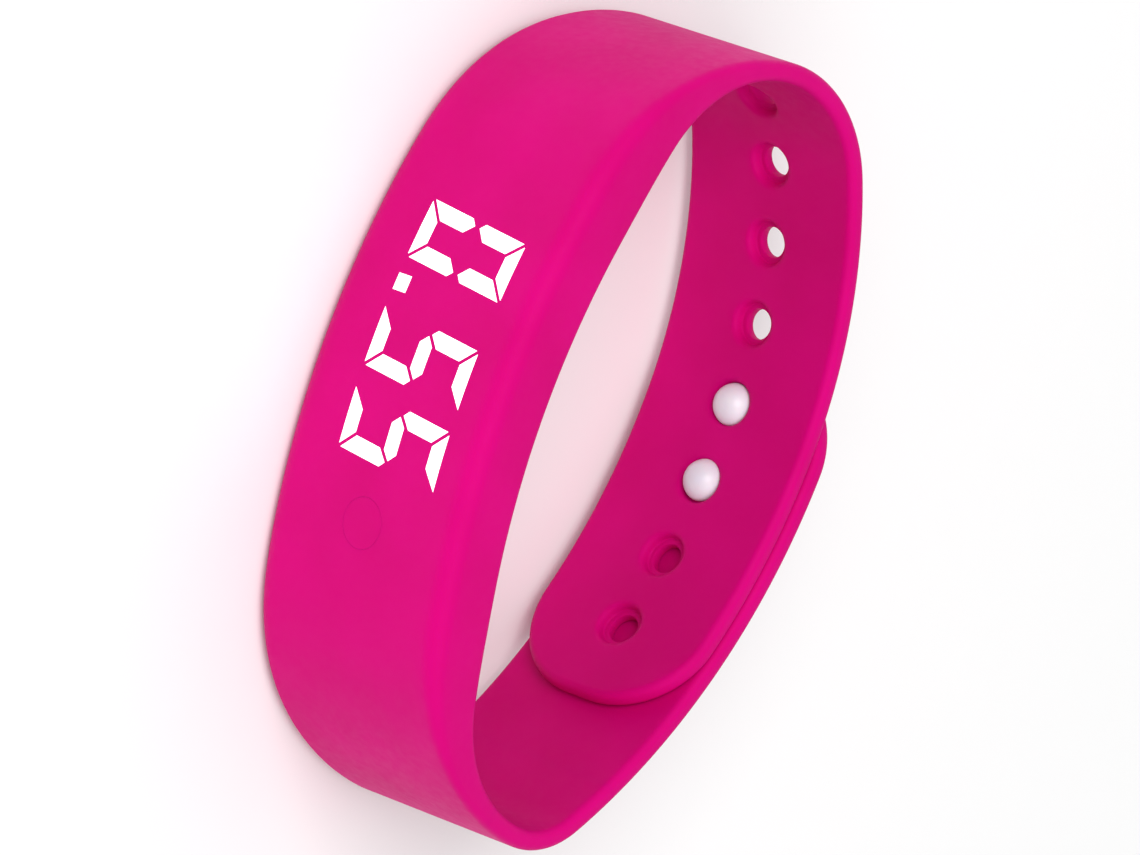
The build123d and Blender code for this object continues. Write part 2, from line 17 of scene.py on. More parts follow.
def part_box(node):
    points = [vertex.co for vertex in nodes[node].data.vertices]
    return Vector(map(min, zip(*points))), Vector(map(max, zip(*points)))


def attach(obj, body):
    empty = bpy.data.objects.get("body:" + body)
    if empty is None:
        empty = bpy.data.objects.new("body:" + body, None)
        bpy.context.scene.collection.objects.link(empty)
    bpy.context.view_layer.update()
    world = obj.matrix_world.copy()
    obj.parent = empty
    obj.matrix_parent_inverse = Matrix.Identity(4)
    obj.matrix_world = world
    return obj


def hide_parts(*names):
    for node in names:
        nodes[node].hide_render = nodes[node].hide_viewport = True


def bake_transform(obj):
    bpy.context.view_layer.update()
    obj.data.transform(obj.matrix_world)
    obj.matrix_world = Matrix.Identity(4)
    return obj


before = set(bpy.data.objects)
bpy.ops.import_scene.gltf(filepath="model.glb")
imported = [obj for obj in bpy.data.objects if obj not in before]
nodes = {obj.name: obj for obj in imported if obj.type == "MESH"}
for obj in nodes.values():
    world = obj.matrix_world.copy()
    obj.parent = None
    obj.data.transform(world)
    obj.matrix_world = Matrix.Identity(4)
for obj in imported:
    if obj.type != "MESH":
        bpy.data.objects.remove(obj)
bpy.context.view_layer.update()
MM = 0.001

# %% [markdown]
# ## The loop's line
#
# The outside of the band is a chain of tangent arcs: the display's flat curve, its shoulder, the round
# side, and then each strap's way to the clasp. Arcs are better than a drawn spline here, because the band
# has to lie exactly on the CAD model, and a moulded strap really is made of arcs. The +X side leads to
# the strap with studs, and the -X side to the strap with holes.

# %% Sizes of the loop
half_length = 38.0
clasp_depth = 47.5
clasp_offset = 6.0
face_radius, face_turn = 79.0, 15.5
shoulder_turn, root_turn = 51.0, 84.0
side_radius = 27.0
stud_corner, hole_corner = 9.0, 15.2
display_thickness, strap_thickness = 6.8, 1.9
strap_gap = 0.12
display_width, strap_width = 23.6, 21.0
flat_side_half = 17.0
middle = display_width / 2


def sine(turn):
    return math.sin(math.radians(turn))


def cosine(turn):
    return math.cos(math.radians(turn))


def arcs_along(steps):
    """Each arc as (run at its start, start heading, radius, centre), and the point and run where they end."""
    point, heading, run, arcs = np.zeros(2), 0.0, 0.0, []
    for radius, end in steps:
        centre = point + radius * np.array([-sine(heading), cosine(heading)])
        arcs.append((run, heading, radius, centre))
        run += radius * math.radians(end - heading)
        point = centre - radius * np.array([-sine(end), cosine(end)])
        heading = end
    return arcs, point, run


face_end = face_radius * sine(face_turn)
shoulder_run = sine(shoulder_turn) - sine(face_turn)
shoulder_radius = (half_length - face_end - side_radius * (1 - sine(shoulder_turn))) / shoulder_run
front = [(face_radius, face_turn), (shoulder_radius, shoulder_turn), (side_radius, root_turn)]
_, root, root_run = arcs_along(front)


last_heading = 225.0


def arcs_to_clasp(corner, apex_x, apex_y, past_flat):
    """All arcs of one side, from the display's middle past the clasp's flattest point."""
    run_x = root[0] - apex_x - corner * sine(root_turn)
    run_y = apex_y - root[1] - corner * (1 + cosine(root_turn))
    turn = 2 * math.degrees(math.atan2(run_x, run_y))
    back = corner + run_x / sine(turn)
    return front + [(corner, turn), (back, 180.0), (past_flat(back), last_heading)], back


overlap = strap_thickness + strap_gap
inner_depth = clasp_depth - overlap
_, stud_back = arcs_to_clasp(stud_corner, -clasp_offset, clasp_depth, lambda back: back)
_, hole_back = arcs_to_clasp(hole_corner, clasp_offset, inner_depth, lambda back: back)
stud_steps, _ = arcs_to_clasp(stud_corner, -clasp_offset, clasp_depth, lambda back: hole_back + overlap)
hole_steps, _ = arcs_to_clasp(hole_corner, clasp_offset, inner_depth, lambda back: stud_back - overlap)
stud_arcs, hole_arcs = arcs_along(stud_steps)[0], arcs_along(hole_steps)[0]
stud_flat = arcs_along(stud_steps[:5])[2]
hole_flat = arcs_along(hole_steps[:5])[2]
print("root at run", round(root_run, 2), "clasp at", round(stud_flat, 2), round(hole_flat, 2))


def on_line(run):
    """Point and outward direction on the loop's outside. Negative runs are on the side with holes."""
    side, run = (1, run) if run >= 0 else (-1, -run)
    arcs = stud_arcs if side > 0 else hole_arcs
    start, heading, radius, centre = [arc for arc in arcs if arc[0] <= run][-1]
    turn = heading + math.degrees((run - start) / radius)
    out = np.array([sine(turn), -cosine(turn)])
    return (centre + radius * out) * [side, 1], out * [side, 1]


skin_low, skin_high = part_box("display_section")
shift = np.array([(skin_low.x + skin_high.x) / 2 / MM, skin_low.y / MM])


def row_point(run, across, height):
    """A place given along, across and above the band's outside, as a point of the row frame in metres."""
    point, out = on_line(run)
    x, y = point + out * height + shift
    return Vector((x * MM, y * MM, across * MM))


# %% [markdown]
# ## Thickness, width and soft edges
#
# Along the loop the section changes: thick and wide over the electronics, thin and narrower in the
# straps. Three small functions give it for any run, so that pieces which meet at a seam agree there.

# %% Section along the loop
inner_radius = face_radius - display_thickness
face_centre = np.array([0.0, face_radius])
root_in = np.array([-sine(root_turn), cosine(root_turn)])
inner_end = root + root_in * strap_thickness
away = inner_end - face_centre
inner_corner = (inner_radius**2 - away @ away) / (2 * (away @ root_in + inner_radius))
inner_centre = inner_end + root_in * inner_corner
inner_turn = math.degrees(math.atan2(inner_centre[0], face_radius - inner_centre[1]))


def thickness(run):
    """How far the wrist side is below the outside."""
    run = abs(run)
    if run >= root_run:
        return strap_thickness
    point, out = on_line(run)

    def reach(centre, radius):
        gap = point - centre
        along = gap @ out
        return along - math.sqrt(along**2 - gap @ gap + radius**2)
    depth = reach(face_centre, inner_radius)
    inner = point - out * depth
    if math.degrees(math.atan2(inner[0], face_radius - inner[1])) <= inner_turn:
        return depth
    return reach(inner_centre, inner_corner)


narrowing = (display_width - strap_width) / 2
narrow_run = half_length - flat_side_half
bend = (narrow_run**2 + narrowing**2) / (2 * narrowing)


def side_edge(run):
    """How far the band's side edge is above the floor."""
    past_flat = max(on_line(abs(run))[0][0] - flat_side_half, 0.0)
    if abs(run) >= root_run:
        return narrowing
    return bend - math.sqrt(bend**2 - past_flat**2)


display_round, strap_round = 1.9, 0.75
rounding_start, rounding_stop = 20.0, 40.0


def smooth(share):
    share = min(max(share, 0.0), 1.0)
    return share * share * (3 - 2 * share)


def outer_round(run):
    """Radius of the outer long edges: generous on the display, small on a strap."""
    share = (abs(run) - rounding_start) / (rounding_stop - rounding_start)
    return display_round + (strap_round - display_round) * smooth(share)


print("thickness at runs 0, 30, 40, root:", [round(thickness(run), 2) for run in (0, 30, 40, root_run)])

# %% [markdown]
# ## A flat slab with soft edges
#
# Each silicone piece is first a flat slab: x runs along the band, y across it, and z is height, with the
# outside at z = 0. Its rim is a stack of rings that roll over the edge, so the rounding goes all the way
# round a strap's free end, which a swept section can't do. The faces between rims and holes are filled
# with small triangles by Blender's constrained Delaunay function, so that they can bend.

# %% Steps along a slab
grid_step = 0.5
edge_steps = 6
side_steps = 3
seam_margin = 0.1


def spaced(start, end, step):
    """Evenly spaced numbers from start to end, both included."""
    return np.linspace(start, end, max(int(round(abs(end - start) / step)), 1) + 1)


def seam_stations(start, end):
    """Runs from start to end, closer together beside a seam so that the shading agrees across it."""
    inside = spaced(start, end, grid_step)[1:-1]
    return np.concatenate([[start, start + seam_margin], inside, [end - seam_margin, end]])


def quarter(radius, rising):
    """Rounded edge as (inset, depth) pairs, from the face to the side, or from the side to the face."""
    turns = np.linspace(0, math.pi / 2, edge_steps + 1)
    pairs = [(radius * (1 - math.sin(a)), radius * (1 - math.cos(a))) for a in turns]
    return pairs if rising else pairs[::-1]


def rim_profile(run):
    """The rolled edge as (inset, depth) pairs, from the outside over the side to the wrist side."""
    depth = thickness(run)
    outer, inner = outer_round(run), strap_round
    side = [(0.0, d) for d in np.linspace(outer, depth - inner, side_steps + 1)[1:-1]]
    return quarter(outer, True) + side + [(i, depth - d) for i, d in quarter(inner, False)]


# %% Filling a face
clear_share = 0.6


def inside(points, loop):
    """Which points lie inside a closed loop."""
    x, y = points[:, 0][:, None], points[:, 1][:, None]
    x0, y0 = loop[:, 0], loop[:, 1]
    x1, y1 = np.roll(x0, -1), np.roll(y0, -1)
    with np.errstate(divide="ignore", invalid="ignore"):
        crossing = x0 + (y - y0) * (x1 - x0) / (y1 - y0)
    return (((y0 > y) != (y1 > y)) & (x < crossing)).sum(1) % 2 == 1


def in_face(points, loops):
    """Which points lie inside the first loop and outside the others."""
    return inside(points, loops[0]) & ~np.any([inside(points, loop) for loop in loops[1:]], axis=0)


def far_from(points, loops, gap):
    """Which points are at least a gap from every corner of the loops."""
    corners = np.concatenate(loops)
    distance = np.min(np.hypot(*(points[:, None, :] - corners[None, :, :]).transpose(2, 0, 1)), axis=1)
    return distance > gap


def fill(mesh, boundary, holes, height):
    """Fills a face between a boundary and hole rings with small triangles at the height of each place."""
    rings = [boundary] + holes
    flat = [np.array([vertex.co[:2] for vertex in ring]) for ring in rings]
    low, high = flat[0].min(0), flat[0].max(0)
    xs, ys = spaced(low[0], high[0], grid_step), spaced(low[1], high[1], grid_step)
    grid = np.array([(x, y) for x in xs for y in ys])
    grid = grid[in_face(grid, flat) & far_from(grid, flat, clear_share * grid_step)]
    places = np.concatenate(flat + [grid])
    edges, first = [], 0
    for loop in flat:
        edges += [(first + n, first + (n + 1) % len(loop)) for n in range(len(loop))]
        first += len(loop)
    found = delaunay_2d_cdt([Vector(p) for p in places], edges, [], 0, 1e-6)
    ring_vertices = [vertex for ring in rings for vertex in ring]
    made = []
    for place, origin in zip(found[0], found[3]):
        known = [o for o in origin if o < len(ring_vertices)]
        made.append(ring_vertices[known[0]] if known else mesh.verts.new((*place, height(place.x))))
    centres = np.array([np.mean([found[0][i] for i in face], axis=0) for face in found[2]])
    for face, use in zip(found[2], in_face(centres, flat)):
        if use:
            mesh.faces.new([made[i] for i in face])
    for vertex in made:
        if vertex.is_valid and not vertex.link_faces:
            mesh.verts.remove(vertex)


# %% Rings and bores
bore_corners = 40


def ring_of(mesh, places):
    """Vertices at (run, across, depth) places."""
    return [mesh.verts.new((x, y, -depth)) for x, y, depth in places]


def join_rings(mesh, first, second, closed=True):
    """Quads between two rings with as many vertices each."""
    count = len(first) if closed else len(first) - 1
    for n in range(count):
        m = (n + 1) % len(first)
        mesh.faces.new((first[n], first[m], second[m], second[n]))


def circle(run, across, radius, depth, count):
    """A ring of places round a bore."""
    turns = np.linspace(0, 2 * math.pi, count, endpoint=False)
    return [(run + radius * math.cos(a), across + radius * math.sin(a), depth) for a in turns]


def bore(run, across, profile, count=bore_corners):
    """Rings down a round hole, from (radius, depth) pairs."""
    return [circle(run, across, radius, depth, count) for radius, depth in profile]


# %% [markdown]
# ## Outline of a strap
#
# Seen flat, a strap is a long bar with a rounded free end. The outline could be a curve object, but the
# rolled edge needs to know, at each point, which way is inwards, so the outline is a list of points that
# each hold that direction.

# %% Outlines
tip_rounding = 9.0
tip_turn_step = 3.0


def long_sides(start, end):
    """Both side edges of a stretch with a seam at each end, as (run, across, inward run, inward across)."""
    runs = seam_stations(start, end)
    lower = [(run, side_edge(run), 0.0, 1.0) for run in runs]
    upper = [(run, display_width - side_edge(run), 0.0, -1.0) for run in runs[::-1]]
    return [lower, upper]


def with_round_tip(start, end):
    """The outline of a stretch from a seam to a rounded free end."""
    straight = end - tip_rounding
    runs = np.concatenate([[start, start + seam_margin], spaced(start, straight, grid_step)[1:]])
    lower = [(run, side_edge(run), 0.0, 1.0) for run in runs]
    corner_y = narrowing + tip_rounding
    corner = []
    for a in spaced(-90, 0, tip_turn_step)[1:]:
        run, across = straight + tip_rounding * cosine(a), corner_y + tip_rounding * sine(a)
        corner.append((run, across, -cosine(a), -sine(a)))
    half = lower + corner
    across = [(end, y, -1.0, 0.0) for y in spaced(corner_y, display_width - corner_y, grid_step)[1:-1]]
    mirrored = [(x, display_width - y, dx, -dy) for x, y, dx, dy in half[::-1]]
    return [half + across + mirrored]


# %% The slab itself
def slab(outline, holes=(), floors=()):
    """A flat slab. A hole is (rings, face where it starts, face where it ends). A face is the outer or the
    inner one, or a named floor, and the ring that ends a hole on a floor is that floor's boundary."""
    mesh = bmesh.new()
    rims = []
    for line in outline:
        profiles = [rim_profile(run) for run, _, _, _ in line]
        rings = []
        for level in range(len(profiles[0])):
            places = [(x + dx * p[level][0], y + dy * p[level][0], p[level][1])
                      for (x, y, dx, dy), p in zip(line, profiles)]
            rings.append(ring_of(mesh, places))
        for first, second in zip(rings, rings[1:]):
            join_rings(mesh, first, second, closed=False)
        rims.append(rings)

    def seam(start, end):
        """Vertices between two corners of a seam, the corners left out."""
        count = max(int(round((end.co - start.co).length / grid_step)), 1)
        return [mesh.verts.new(start.co.lerp(end.co, n / count)) for n in range(1, count)]

    faces = {floor: [None, []] for floor in floors}
    for face, level in (("outer", 0), ("inner", -1)):
        loop = []
        for n, rings in enumerate(rims):
            loop += rings[level]
            loop += seam(rings[level][-1], rims[(n + 1) % len(rims)][level][0])
        faces[face] = [loop, []]
    for hole_rings, start, end in holes:
        vertices = [ring_of(mesh, places) for places in hole_rings]
        for first, second in zip(vertices, vertices[1:]):
            join_rings(mesh, first, second)
        faces[start][1].append(vertices[0])
        if end in floors:
            faces[end][0] = vertices[-1]
        else:
            faces[end][1].append(vertices[-1])
    fill(mesh, *faces["outer"], lambda run: 0.0)
    fill(mesh, *faces["inner"], lambda run: -thickness(run))
    for floor in floors:
        level = faces[floor][0][0].co.z
        fill(mesh, *faces[floor], lambda run: level)
    open_edges = [edge for edge in mesh.edges if edge.is_boundary]
    bmesh.ops.holes_fill(mesh, edges=open_edges, sides=0)
    return mesh


# %% From a flat shape to an object
sharp_turn = 35.0


def in_scene(name, data):
    """A new object in the scene."""
    obj = bpy.data.objects.new(name, data)
    bpy.context.scene.collection.objects.link(obj)
    return obj


def finish_mesh(mesh, name, mirrored=False):
    """A closed flat shape, in millimetres, as an object in metres with its faces outwards."""
    scale = Matrix.Diagonal((-MM if mirrored else MM, MM, MM, 1))
    bmesh.ops.transform(mesh, matrix=scale, verts=mesh.verts)
    bmesh.ops.recalc_face_normals(mesh, faces=mesh.faces)
    data = bpy.data.meshes.new(name)
    mesh.to_mesh(data)
    mesh.free()
    data.shade_smooth()
    data.set_sharp_from_angle(angle=math.radians(sharp_turn))
    return in_scene(name, data)


# %% [markdown]
# ## Wrapping with Geometry Nodes
#
# A Curve modifier could bend the flat pieces, but it gives little control over what lies off its axis. A
# small node tree does it exactly: each vertex's x picks a place on the loop's line, its z moves it along
# the line's outward direction, and its y becomes its height. One tree serves every flat piece, with the
# line and its start as named inputs.

# %% The loop's line as a curve
line_step, line_margins = 0.1, (45.0, 25.0)
line_start, line_end = -(hole_flat + line_margins[0]), stud_flat + line_margins[1]
line_runs = spaced(line_start, line_end, line_step)
line_data = bpy.data.curves.new("loop_line", "CURVE")
line_data.dimensions = "3D"
line_spline = line_data.splines.new("POLY")
line_spline.points.add(len(line_runs) - 1)
for spline_point, run in zip(line_spline.points, line_runs):
    spline_point.co = (*row_point(run, 0, 0), 1)
loop_line = in_scene("loop_line", line_data)
print("line of", len(line_runs), "points")

# %% Helpers for node trees
helpers = [loop_line]


def wire(source, output, target, entry):
    """Links an output of one node to an input of another, each by its name or number."""
    source.id_data.links.new(source.outputs[output], target.inputs[entry])


def new_tree(name, inputs):
    """A geometry tree with a geometry in and out, and named inputs as (name, socket type, default)."""
    tree = bpy.data.node_groups.new(name, "GeometryNodeTree")
    tree.interface.new_socket("Geometry", in_out="INPUT", socket_type="NodeSocketGeometry")
    for label, kind, default in inputs:
        socket = tree.interface.new_socket(label, in_out="INPUT", socket_type=kind)
        if default is not None:
            socket.default_value = default
    tree.interface.new_socket("Geometry", in_out="OUTPUT", socket_type="NodeSocketGeometry")
    return tree, tree.nodes.new("NodeGroupInput"), tree.nodes.new("NodeGroupOutput")


def finish_tree(tree, geometry, given, result):
    """Every tree ends by making instances real and setting the material."""
    real = tree.nodes.new("GeometryNodeRealizeInstances")
    paint = tree.nodes.new("GeometryNodeSetMaterial")
    tree.links.new(geometry, real.inputs["Geometry"])
    wire(real, "Geometry", paint, "Geometry")
    wire(given, "Finish", paint, "Material")
    wire(paint, "Geometry", result, "Geometry")


def node(tree, kind, **settings):
    made = tree.nodes.new(kind)
    for key, value in settings.items():
        setattr(made, key, value)
    return made


# %% The wrapping tree
wrap_tree, given, result = new_tree("wrap_on_loop", [
    ("Line", "NodeSocketObject", None), ("Line start", "NodeSocketFloat", line_start * MM),
    ("Finish", "NodeSocketMaterial", None)])
place = node(wrap_tree, "GeometryNodeInputPosition")
parts = node(wrap_tree, "ShaderNodeSeparateXYZ")
info = node(wrap_tree, "GeometryNodeObjectInfo", transform_space="RELATIVE")
from_start = node(wrap_tree, "ShaderNodeMath", operation="SUBTRACT")
sample = node(wrap_tree, "GeometryNodeSampleCurve", mode="LENGTH", use_all_curves=False)
outward = node(wrap_tree, "ShaderNodeVectorMath", operation="CROSS_PRODUCT")
unit_out = node(wrap_tree, "ShaderNodeVectorMath", operation="NORMALIZE")
raise_by = node(wrap_tree, "ShaderNodeVectorMath", operation="SCALE")
up = node(wrap_tree, "ShaderNodeCombineXYZ")
raised = node(wrap_tree, "ShaderNodeVectorMath", operation="ADD")
moved = node(wrap_tree, "ShaderNodeVectorMath", operation="ADD")
setter = node(wrap_tree, "GeometryNodeSetPosition")
outward.inputs[1].default_value = (0, 0, 1)
wire(place, 0, parts, 0)
wire(given, "Line", info, "Object")
wire(parts, "X", from_start, 0)
wire(given, "Line start", from_start, 1)
wire(info, "Geometry", sample, "Curves")
wire(from_start, 0, sample, "Length")
wire(sample, "Tangent", outward, 0)
wire(outward, 0, unit_out, 0)
wire(unit_out, 0, raise_by, 0)
wire(parts, "Z", raise_by, "Scale")
wire(parts, "Y", up, "Z")
wire(sample, "Position", raised, 0)
wire(raise_by, 0, raised, 1)
wire(raised, 0, moved, 0)
wire(up, 0, moved, 1)
wire(given, "Geometry", setter, "Geometry")
wire(moved, 0, setter, "Position")
finish_tree(wrap_tree, setter.outputs["Geometry"], given, result)
print("the wrapping tree has", len(wrap_tree.nodes), "nodes")


# %% Running a tree
def grow(obj, tree, **values):
    """Runs a tree on an object and keeps the result as its plain mesh. Input names use _ for a space."""
    modifier = obj.modifiers.new(tree.name, "NODES")
    modifier.node_group = tree
    for item in tree.interface.items_tree:
        key = item.name.replace(" ", "_").lower()
        if item.in_out == "INPUT" and key in values:
            modifier[item.identifier] = values[key]
    graph = bpy.context.evaluated_depsgraph_get()
    made = bpy.data.meshes.new_from_object(obj.evaluated_get(graph), depsgraph=graph)
    obj.modifiers.remove(modifier)
    old, obj.data = obj.data, made
    made.name = obj.name
    bpy.data.meshes.remove(old)
    return obj


def wrap(obj, finish):
    """Wraps a flat piece round the loop."""
    grow(obj, wrap_tree, line=loop_line, finish=finish)
    size = [round(v / MM, 2) for v in obj.dimensions]
    print(obj.name, "is", size, "mm with", len(obj.data.polygons), "faces")
    return obj


# %% [markdown]
# ## Silicone
#
# Moulded silicone is matte with a soft sheen, and a little light goes into it, which makes thin edges
# brighter. Subsurface scattering of about a millimetre gives that. Two noises break the surface up: a
# broad one for the slightly cloudy colour and a very fine one for the sandblasted mould, in roughness and
# bump.

# %% Material helpers
def material(name, colour, roughness, **sockets):
    """A Principled material with uniform values set on the shader's own sockets."""
    made = bpy.data.materials.new(name)
    made.use_nodes = True
    shader = made.node_tree.nodes["Principled BSDF"]
    shader.inputs["Base Color"].default_value = (*colour, 1)
    shader.inputs["Roughness"].default_value = roughness
    for label, value in sockets.items():
        shader.inputs[label.replace("_", " ")].default_value = value
    return made


def noise(made, size, detail=2.0, stretch=(1, 1, 1)):
    """Noise in the piece's own coordinates whose grain is about size millimetres."""
    tree = made.node_tree
    coordinates = node(tree, "ShaderNodeTexCoord")
    mapping = node(tree, "ShaderNodeMapping")
    mapping.inputs["Scale"].default_value = stretch
    texture = node(tree, "ShaderNodeTexNoise")
    texture.inputs["Scale"].default_value = 1 / (size * MM)
    texture.inputs["Detail"].default_value = detail
    wire(coordinates, "Object", mapping, "Vector")
    wire(mapping, "Vector", texture, "Vector")
    return texture.outputs["Fac"]


noise_low, noise_high = 0.3, 0.7


def vary_colour(made, factor, low, high):
    """Base colour between two colours by a factor."""
    tree = made.node_tree
    ramp = node(tree, "ShaderNodeValToRGB")
    for stop, position, colour in zip(ramp.color_ramp.elements, (noise_low, noise_high), (low, high)):
        stop.position, stop.color = position, (*colour, 1)
    tree.links.new(factor, ramp.inputs["Fac"])
    wire(ramp, "Color", tree.nodes["Principled BSDF"], "Base Color")


def vary_roughness(made, factor, low, high):
    """Roughness between two values by a factor."""
    tree = made.node_tree
    spread = node(tree, "ShaderNodeMapRange")
    limits = {"From Min": noise_low, "From Max": noise_high, "To Min": low, "To Max": high}
    for label, value in limits.items():
        spread.inputs[label].default_value = value
    tree.links.new(factor, spread.inputs["Value"])
    wire(spread, "Result", tree.nodes["Principled BSDF"], "Roughness")


def add_bump(made, factor, height):
    """Bump whose full height is given in millimetres."""
    tree = made.node_tree
    bump = node(tree, "ShaderNodeBump")
    bump.inputs["Strength"].default_value = 1.0
    bump.inputs["Distance"].default_value = height * MM
    tree.links.new(factor, bump.inputs["Height"])
    wire(bump, "Normal", tree.nodes["Principled BSDF"], "Normal")


# %% Silicone
silicone = material("silicone", (0.60, 0.001, 0.16), 0.55, Subsurface_Weight=0.12, Subsurface_Scale=0.0012,
                    Subsurface_Radius=(1.0, 0.15, 0.45), Sheen_Weight=0.02, Sheen_Roughness=0.5,
                    Sheen_Tint=(1.0, 0.02, 0.65, 1), Specular_IOR_Level=0.13,
                    Specular_Tint=(1.0, 0.25, 0.7, 1))
vary_colour(silicone, noise(silicone, 9.0, 1.0), (0.60, 0.0004, 0.165), (0.65, 0.0006, 0.190))
vary_roughness(silicone, noise(silicone, 0.9, 3.0), 0.50, 0.62)
add_bump(silicone, noise(silicone, 0.12, 2.0), 0.006)
print("silicone has", len(silicone.node_tree.nodes), "nodes")

# %% [markdown]
# ## Display skin
#
# The thick section of the moulding. Its wrist side has a mouth with a low lip, and behind the lip a
# pocket that holds the module. The pocket could be cut by a Boolean modifier, which leaves thin, badly
# shaded faces on a soft shape. Instead its walls are rings of places, given on the display's own curve
# and unrolled to the flat, so that the slab is built with the pocket in it.

# %% Sizes and helpers of the display's pocket
module_half_length, module_width = 21.0, 19.0
module_fit, pocket_lip = 0.1, 1.0
skin_thickness, module_back = 0.9, 6.6
button_x, button_radius = 14.6, 2.4
seam_before_root = 5.0
seam_run = root_run - seam_before_root
skin_gap = 0.02
box_turn_step, box_side_step = 15.0, 1.0


def unrolled(x, across, depth):
    """A place at a depth below the display's curve, as (run, across, depth) of the flat band."""
    point = np.array([abs(x), face_radius - math.sqrt((face_radius - depth)**2 - x**2)])
    run, heading, radius, centre = stud_arcs[0]
    if math.degrees(math.atan2(point[0], face_radius - point[1])) > face_turn:
        run, heading, radius, centre = stud_arcs[1]
    gap = point - centre
    turn = math.degrees(math.atan2(gap[0], -gap[1]))
    flat_run = run + radius * math.radians(turn - heading)
    return math.copysign(flat_run, x), across, radius - float(np.hypot(*gap))


def rounded_box(half_x, half_y, rounding):
    """Corners and sides of a rounded rectangle about the origin, in order."""
    points = []
    for quadrant in range(4):
        turn = quadrant * 90
        sx, sy = (1, 1, -1, -1)[quadrant], (-1, 1, 1, -1)[quadrant]
        centre = np.array([sx * (half_x - rounding), sy * (half_y - rounding)])
        for a in spaced(turn - 90, turn, box_turn_step):
            points.append(centre + rounding * np.array([cosine(a), sine(a)]))
        length = 2 * ((half_y if quadrant % 2 == 0 else half_x) - rounding)
        direction = np.array([-sine(turn), cosine(turn)])
        points += [points[-1] + direction * d for d in spaced(0, length, box_side_step)[1:-1]]
    return points


# %% Display skin
mouth_x, mouth_y = module_half_length - pocket_lip, module_width / 2 - pocket_lip
mouth_corner = 0.8
# Rings as (growth, depth): the soft lip, the mouth's wall, the shelf behind it and the pocket's wall.
lip_shapes = [(0.08, display_thickness), (0.03, display_thickness - 0.02), (0.0, display_thickness - 0.05),
              (0.0, module_back + module_fit), (pocket_lip + module_fit, module_back + module_fit),
              (pocket_lip + module_fit, skin_thickness)]
mouth_rings = []
for grown, depth in lip_shapes:
    outline = rounded_box(mouth_x + grown, mouth_y + grown, mouth_corner + grown)
    mouth_rings.append([unrolled(x, middle + y, depth) for x, y in outline])
mouth_rings[0] = [(run, across, thickness(run)) for run, across, _ in mouth_rings[0]]
button_run = face_radius * math.asin(button_x / face_radius)
button_bore = bore(button_run, middle, [(button_radius, skin_thickness), (button_radius, 0.0)])
display_holes = [(mouth_rings, "inner", "pocket_floor"), (button_bore, "pocket_floor", "outer")]
display_mesh = slab(long_sides(-seam_run, seam_run), display_holes, ["pocket_floor"])
display_skin = wrap(finish_mesh(display_mesh, "display_skin"), silicone)

# %% [markdown]
# ## Strap with holes
#
# Each hole is a wide dimple on the wrist side with a small bore through a thin web at its bottom. The
# stud's head sits in the dimple and its neck in the bore. Eight Booleans would work, but a dimple's soft
# lip matters more than its hole. So a dimple is a stack of rings whose radius and depth come from one
# short profile, and all eight are the same.

# %% Places of the holes
hole_pitch, hole_count = 8.0, 8
first_stud, holes_past_studs, hole_end_margin = -1.0, 2, 8.0
hole_tip = hole_flat + hole_pitch * (holes_past_studs + 1) + first_stud + hole_end_margin
hole_runs = [hole_tip - hole_end_margin - n * hole_pitch for n in range(hole_count)]
print("holes at runs", [round(run, 2) for run in hole_runs])

# %% Strap with holes
dimple_radius, web_radius = 2.25, 1.45
web_floor = 1.0
# The soft lip, the wall that narrows to the web, the web's floor, and the bore with its two soft edges.
dimple_profile = [(dimple_radius + 0.45, strap_thickness), (dimple_radius + 0.2, strap_thickness - 0.04),
                  (dimple_radius, strap_thickness - 0.18), (dimple_radius - 0.12, strap_thickness - 0.5),
                  (dimple_radius - 0.2, web_floor + 0.12), (dimple_radius - 0.35, web_floor),
                  (web_radius + 0.25, web_floor), (web_radius + 0.06, web_floor - 0.06),
                  (web_radius, web_floor - 0.2), (web_radius, 0.2), (web_radius + 0.06, 0.06),
                  (web_radius + 0.2, 0.0)]
dimples = [(bore(run, middle, dimple_profile), "inner", "outer") for run in hole_runs]
hole_mesh = slab(with_round_tip(seam_run, hole_tip), dimples)
hole_strap_skin = wrap(finish_mesh(hole_mesh, "hole_strap_skin", mirrored=True), silicone)

# %% [markdown]
# ## Strap with studs
#
# The outer strap is two pieces here, because it bends at two places: at its root, and where its end peels
# off. The seam between them lies halfway, where neither bend reaches. The end has a let-in seat for the
# clip's bar on the outside, with two small bores for the studs' necks.

# %% Sizes of the clasp
stud_end_margin, peel_distance = 5.3, 19.0
stud_runs = [stud_flat - first_stud, stud_flat - first_stud - hole_pitch]
stud_tip = stud_runs[0] + stud_end_margin
peel_run = min(stud_runs) - peel_distance
strap_seam = (root_run + peel_run) / 2
clip_run = sum(stud_runs) / 2
print("studs at runs", [round(run, 2) for run in stud_runs], "peel at", round(peel_run, 2))
clip_length, clip_width, clip_thickness, clip_recess = 13.0, 5.0, 1.2, 0.7
neck_radius, head_radius = 1.2, 2.05
fit = 0.05
slot_turn_step, slot_side_step = 9.0, 1.0


def capsule(run, half, radius, depth):
    """A ring of places round a slot: two half circles joined by straight sides."""
    places = []
    for side in (1, -1):
        for a in spaced(-90, 90, slot_turn_step):
            places.append((run + side * (half + radius * cosine(a)), middle + side * radius * sine(a), depth))
        straight = [places[-1][0] - side * d for d in spaced(0, 2 * half, slot_side_step)[1:-1]]
        places += [(x, places[-1][1], depth) for x in straight]
    return places


